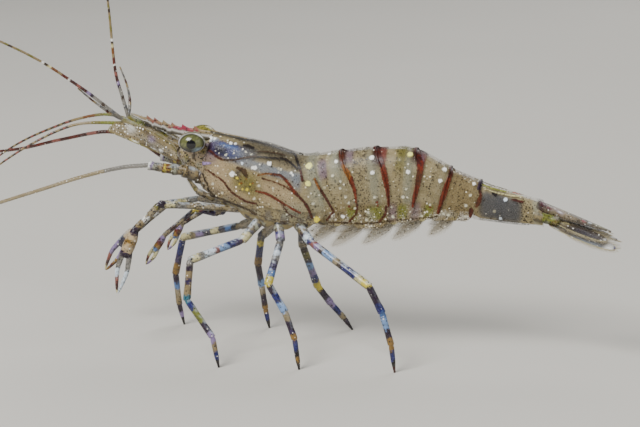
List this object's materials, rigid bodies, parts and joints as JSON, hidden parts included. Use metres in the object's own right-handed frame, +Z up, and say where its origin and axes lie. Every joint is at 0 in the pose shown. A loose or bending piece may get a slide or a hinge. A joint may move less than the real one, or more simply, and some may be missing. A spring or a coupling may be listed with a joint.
{
  "type": "shrimp",
  "caption": "Life-size still model of a common prawn standing on its walking legs, long toothed beak, arched body, folded tail fan and long feelers.",
  "frame": {"origin": "on the floor, under the middle of the whole model's outline seen from above", "axes": "the animal faces -X, its left side is on -Y, +Z is up"},
  "size_m": [0.1404, 0.0934, 0.0601],
  "materials": {
    "shell": "thin moist translucent shell, olive beige with rust-red bands",
    "fin": "clear thin fin, faint grey",
    "leg": "glossy clear leg banded violet, pale blue, yellow and orange",
    "feeler": "satin feeler, beige with dark red and white rings",
    "eye": "wet gloss, dark pupil in a greenish iris"
  },
  "bodies": {
    "root": {"beak": "shell", "brow": "shell", "carapace": "shell", "breast": "shell", "segment_1": "shell", "segment_2": "shell", "segment_3": "shell", "segment_4": "shell", "segment_5": "shell", "segment_6": "shell", "telson": "fin", "eye_left": "eye", "antennule_stem_left": "shell", "antenna_stem_left": "shell", "antennal_scale_left": "fin", "mouth_leg_left": "leg", "antenna_root_left": "feeler", "antenna_tip_left": "feeler", "antennule_outer_left": "feeler", "antennule_inner_left": "feeler", "leg_1_left": "leg", "leg_2_arm_left": "leg", "leg_2_claw_left": "leg", "leg_3_thigh_left": "leg", "leg_3_shin_left": "leg", "leg_4_thigh_left": "leg", "leg_4_shin_left": "leg", "leg_5_thigh_left": "leg", "leg_5_shin_left": "leg", "tail_fan_left": "fin", "swimmeret_1_left": "fin", "swimmeret_2_left": "fin", "swimmeret_3_left": "fin", "swimmeret_4_left": "fin", "swimmeret_5_left": "fin", "eye_right": "eye", "antennule_stem_right": "shell", "antenna_stem_right": "shell", "antennal_scale_right": "fin", "mouth_leg_right": "leg", "antenna_root_right": "feeler", "antenna_tip_right": "feeler", "antennule_outer_right": "feeler", "antennule_inner_right": "feeler", "leg_1_right": "leg", "leg_2_arm_right": "leg", "leg_2_claw_right": "leg", "leg_3_thigh_right": "leg", "leg_3_shin_right": "leg", "leg_4_thigh_right": "leg", "leg_4_shin_right": "leg", "leg_5_thigh_right": "leg", "leg_5_shin_right": "leg", "tail_fan_right": "fin", "swimmeret_1_right": "fin", "swimmeret_2_right": "fin", "swimmeret_3_right": "fin", "swimmeret_4_right": "fin", "swimmeret_5_right": "fin"}
  },
  "joints": []
}
